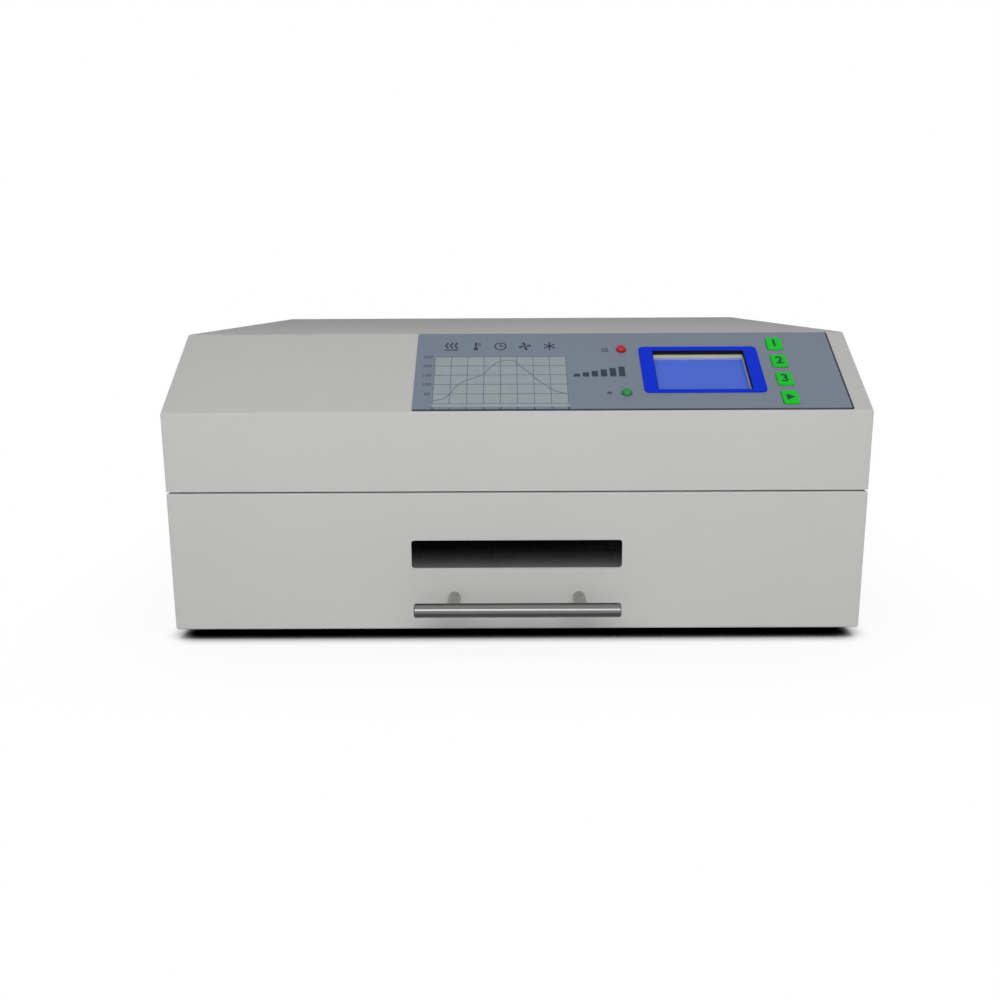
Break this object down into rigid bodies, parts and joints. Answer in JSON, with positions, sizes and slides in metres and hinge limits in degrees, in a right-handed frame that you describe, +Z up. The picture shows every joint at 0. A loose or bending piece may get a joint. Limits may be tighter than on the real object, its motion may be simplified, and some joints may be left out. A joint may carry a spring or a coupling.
{
  "type": "reflow oven",
  "caption": "Benchtop infrared reflow oven in a folded grey casing, with a sloped display and key panel and a windowed drawer on ball slides that carries a wire rack.",
  "frame": {"origin": "on the floor, under the middle of the whole object's box", "axes": "+X to the right as seen from the front, +Y to the rear, +Z up"},
  "size_m": [0.5336, 0.5222, 0.231],
  "materials": {
    "casing_paint": "fine textured grey powder coat",
    "zinc_sheet": "zinc plated sheet",
    "chamber_steel": "bright stainless sheet",
    "reflector_sheet": "polished",
    "fibre_board": "rigid ceramic fibre board",
    "quartz": "milky quartz",
    "ceramic": "unglazed ceramic",
    "probe_steel": "stainless sheath",
    "motor_steel": "black",
    "impeller_steel": "plain",
    "black_plastic": "moulded",
    "guard_wire": "bright wire",
    "fastener": "zinc plated",
    "brass_post": "turned",
    "circuit_board": "solder resist",
    "transformer_iron": "laminated core",
    "heat_sink_metal": "extruded",
    "pin_metal": "plated",
    "rocker_red": "red",
    "overlay_film": "blue-grey printed film",
    "bezel_blue": "blue",
    "foam_black": "foam",
    "display_tin": "tin plate",
    "display_blue": "lit blue",
    "key_green": "green",
    "lamp_lens": "tinted lens",
    "slide_steel": "zinc plated",
    "foot_rubber": "moulded",
    "gasket_fibre": "woven glass fibre",
    "window_pane": "heat resistant",
    "handle_steel": "brushed along its length",
    "rack_wire": "bright wire"
  },
  "bodies": {
    "casing": {"top_cover": "casing_paint", "base_pan": "zinc_sheet", "rear_panel": "casing_paint", "front_bulkhead": "zinc_sheet", "chamber_liner": "chamber_steel", "insulation_boards": "fibre_board", "fan_baffle": "chamber_steel", "reflector": "reflector_sheet", "heater_tubes": "quartz", "heater_end_caps": "ceramic", "thermocouples": "probe_steel", "circulation_motor": "motor_steel", "exhaust_duct": "chamber_steel", "fan_frames": "black_plastic", "fan_guards": "guard_wire", "fan_screws": "fastener", "mains_inlet": "black_plastic", "inlet_pins": "pin_metal", "switch_housing": "black_plastic", "rubber_feet": "foot_rubber", "case_screws": "fastener", "slide_outer_rails": "slide_steel", "panel_overlay": "overlay_film", "display_bezel": "bezel_blue", "display_gasket": "foam_black", "display_frame": "display_tin", "display_glass": "display_blue", "display_board": "circuit_board", "status_leds": "lamp_lens", "key_board": "circuit_board", "board_standoffs": "brass_post", "electronics_shelf": "zinc_sheet", "power_board": "circuit_board", "transformer": "transformer_iron", "heat_sink": "heat_sink_metal"},
    "drawer": {"drawer_front": "casing_paint", "drawer_insulation": "fibre_board", "drawer_inner_panel": "zinc_sheet", "door_gasket": "gasket_fibre", "window_glass": "window_pane", "window_frame": "chamber_steel", "handle_bar": "handle_steel", "handle_posts": "handle_steel", "drawer_screws": "fastener", "tray_frame": "chamber_steel", "wire_rack": "rack_wire", "drawer_arms": "zinc_sheet", "slide_inner_rails": "slide_steel"},
    "slide_middle": {"slide_middle_rails": "slide_steel"},
    "outer_cages": {"outer_ball_cages": "slide_steel"},
    "inner_cages": {"inner_ball_cages": "slide_steel"},
    "circulation_rotor": {"circulation_fan": "impeller_steel"},
    "exhaust_rotor": {"exhaust_rotor": "black_plastic"},
    "cooling_rotor": {"cooling_rotor": "black_plastic"},
    "power_rocker": {"power_rocker": "rocker_red"},
    "fuse_drawer": {"fuse_drawer": "black_plastic"},
    "key_1": {"key_1": "key_green"},
    "key_2": {"key_2": "key_green"},
    "key_3": {"key_3": "key_green"},
    "key_4": {"key_4": "key_green"}
  },
  "joints": [
    {"name": "drawer_slide", "type": "slide", "parent": "casing", "child": "drawer", "axis": [0, -1, 0], "range_m": [0, 0.37]},
    {"name": "middle_rail_slide", "type": "slide", "parent": "casing", "child": "slide_middle", "axis": [0, -1, 0], "range_m": [0, 0.185]},
    {"name": "outer_cage_roll", "type": "slide", "parent": "casing", "child": "outer_cages", "axis": [0, -1, 0], "range_m": [0, 0.0925]},
    {"name": "inner_cage_roll", "type": "slide", "parent": "casing", "child": "inner_cages", "axis": [0, -1, 0], "range_m": [0, 0.2775]},
    {"name": "circulation_spin", "type": "hinge", "parent": "casing", "child": "circulation_rotor", "pos_m": [-0.07, 0.22908, 0.0665], "axis": [0, 1, 0], "continuous": true},
    {"name": "exhaust_spin", "type": "hinge", "parent": "casing", "child": "exhaust_rotor", "pos_m": [0.11, 0.22908, 0.0665], "axis": [0, 1, 0], "continuous": true},
    {"name": "cooling_spin", "type": "hinge", "parent": "casing", "child": "cooling_rotor", "pos_m": [-0.11, 0.22908, 0.1761], "axis": [0, 1, 0], "continuous": true},
    {"name": "power_rocker_tilt", "type": "hinge", "parent": "casing", "child": "power_rocker", "pos_m": [-0.169, 0.25228, 0.056], "axis": [1, 0, 0], "range_deg": [0, 20]},
    {"name": "fuse_drawer_slide", "type": "slide", "parent": "casing", "child": "fuse_drawer", "axis": [0, 1, 0], "range_m": [0, 0.02]},
    {"name": "key_1_press", "type": "slide", "parent": "casing", "child": "key_1", "axis": [0, 0.5571, -0.8305], "range_m": [0, 0.0005], "stiffness_N_per_m": 2000},
    {"name": "key_2_press", "type": "slide", "parent": "casing", "child": "key_2", "axis": [0, 0.5571, -0.8305], "range_m": [0, 0.0005], "stiffness_N_per_m": 2000},
    {"name": "key_3_press", "type": "slide", "parent": "casing", "child": "key_3", "axis": [0, 0.5571, -0.8305], "range_m": [0, 0.0005], "stiffness_N_per_m": 2000},
    {"name": "key_4_press", "type": "slide", "parent": "casing", "child": "key_4", "axis": [0, 0.5571, -0.8305], "range_m": [0, 0.0005], "stiffness_N_per_m": 2000}
  ],
  "couplings": [
    {"joint": "middle_rail_slide", "follows": "drawer_slide", "ratio": 0.5},
    {"joint": "outer_cage_roll", "follows": "drawer_slide", "ratio": 0.25},
    {"joint": "inner_cage_roll", "follows": "drawer_slide", "ratio": 0.75}
  ]
}
